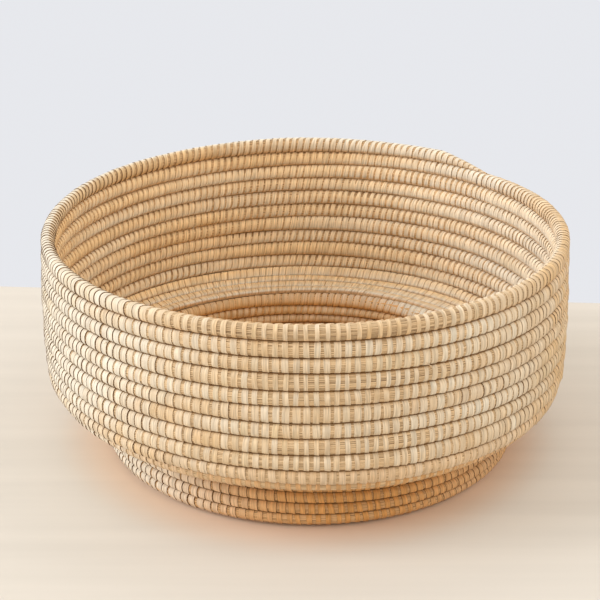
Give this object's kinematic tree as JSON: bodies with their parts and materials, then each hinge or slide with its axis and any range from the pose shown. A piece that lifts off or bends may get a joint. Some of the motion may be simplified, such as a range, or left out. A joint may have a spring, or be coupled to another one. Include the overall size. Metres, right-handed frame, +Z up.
{
  "type": "coiled basket",
  "caption": "Round coiled palm-fibre basket: straight-walled open bowl with an inward shoulder on a narrower hollow foot, bundle coil bound with leaf strips.",
  "frame": {"origin": "on the table, under the middle of the base", "axes": "+Z up along the basket's axis; the coil climbs clockwise seen from above and ends at the rim 54 degrees round from +X towards +Y"},
  "size_m": [0.38, 0.38, 0.1715],
  "materials": {
    "leaf_strip": "matte",
    "stem_bundle": "matte"
  },
  "bodies": {
    "root": {"start_knot": "leaf_strip", "base_foundation": "stem_bundle", "foot_foundation": "stem_bundle", "shoulder_foundation": "stem_bundle", "wall_foundation": "stem_bundle", "base_binder_01": "leaf_strip", "base_binder_02": "leaf_strip", "base_binder_03": "leaf_strip", "base_binder_04": "leaf_strip", "base_binder_05": "leaf_strip", "base_binder_06": "leaf_strip", "base_binder_07": "leaf_strip", "base_binder_08": "leaf_strip", "base_binder_09": "leaf_strip", "base_binder_10": "leaf_strip", "base_binder_11": "leaf_strip", "base_binder_12": "leaf_strip", "base_binder_13": "leaf_strip", "foot_binder_01": "leaf_strip", "foot_binder_02": "leaf_strip", "foot_binder_03": "leaf_strip", "foot_binder_04": "leaf_strip", "foot_binder_05": "leaf_strip", "shoulder_binder_01": "leaf_strip", "shoulder_binder_02": "leaf_strip", "shoulder_binder_03": "leaf_strip", "shoulder_binder_04": "leaf_strip", "wall_binder_01": "leaf_strip", "wall_binder_02": "leaf_strip", "wall_binder_03": "leaf_strip", "wall_binder_04": "leaf_strip", "wall_binder_05": "leaf_strip", "wall_binder_06": "leaf_strip", "wall_binder_07": "leaf_strip", "wall_binder_08": "leaf_strip", "wall_binder_09": "leaf_strip", "wall_binder_10": "leaf_strip", "rim_tail": "leaf_strip"}
  },
  "joints": []
}
